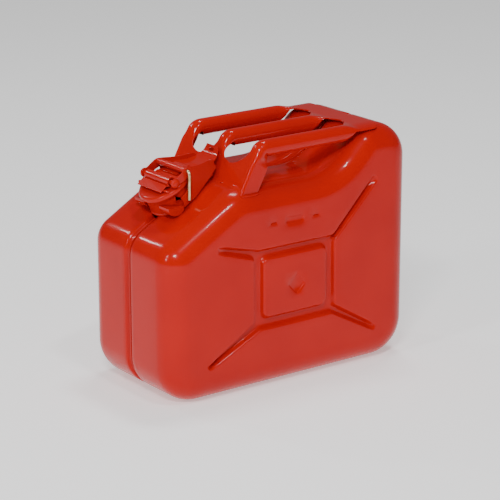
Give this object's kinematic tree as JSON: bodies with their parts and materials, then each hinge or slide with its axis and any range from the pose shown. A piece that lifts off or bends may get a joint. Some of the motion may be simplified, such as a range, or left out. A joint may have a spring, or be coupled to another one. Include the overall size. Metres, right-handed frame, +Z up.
{
  "type": "jerry can",
  "caption": "Pressed-steel jerry can with a three-bar carrying handle and a hinged lid held down by a cam lever and a wire locking pin.",
  "frame": {"origin": "centre of the base, on the surface it stands on", "axes": "+X along the can towards the rear, away from the spout; +Y across the can; +Z up"},
  "size_m": [0.345, 0.165, 0.2874],
  "materials": {
    "body_paint": "glossy red paint",
    "handle_paint": "glossy red paint",
    "closure_paint": "glossy red paint, thinner on edges",
    "yellow_zinc": "yellow-passivated zinc plate",
    "bare_steel": "plain steel tube",
    "gasket_rubber": "black fuel-proof rubber"
  },
  "bodies": {
    "root": {"body_half_near": "body_paint", "body_half_far": "body_paint", "seam_weld_bead": "body_paint", "neck": "closure_paint", "neck_lug_near": "closure_paint", "neck_lug_far": "closure_paint", "hinge_bracket": "closure_paint", "hinge_pin": "yellow_zinc", "breather_tube": "bare_steel", "handle_front_plate": "handle_paint", "handle_bar_near": "handle_paint", "handle_bar_centre": "handle_paint", "handle_bar_far": "handle_paint", "handle_rear_plate": "handle_paint"},
    "lid": {"lid_cup": "closure_paint", "lid_gasket": "gasket_rubber", "lid_bridge": "closure_paint", "lid_hinge_strap": "closure_paint", "lid_cross_rod": "closure_paint", "lever_pivot_pin": "closure_paint"},
    "lever": {"cam_lever": "closure_paint"},
    "pin": {"locking_pin": "yellow_zinc"}
  },
  "joints": [
    {"name": "lid_hinge", "type": "hinge", "parent": "root", "child": "lid", "pos_m": [-0.08338, 0, 0.24717], "axis": [0, 1, 0], "range_deg": [0, 90]},
    {"name": "lever_pivot", "type": "hinge", "parent": "lid", "child": "lever", "pos_m": [-0.12764, 0, 0.24542], "axis": [0, -1, 0], "range_deg": [0, 150]},
    {"name": "pin_slide", "type": "slide", "parent": "lever", "child": "pin", "axis": [0, -1, 0], "range_m": [0, 0.02]}
  ],
  "couplings": [
    {"joint": "lid_hinge", "follows": "lever_pivot", "ratio": 0.6}
  ]
}
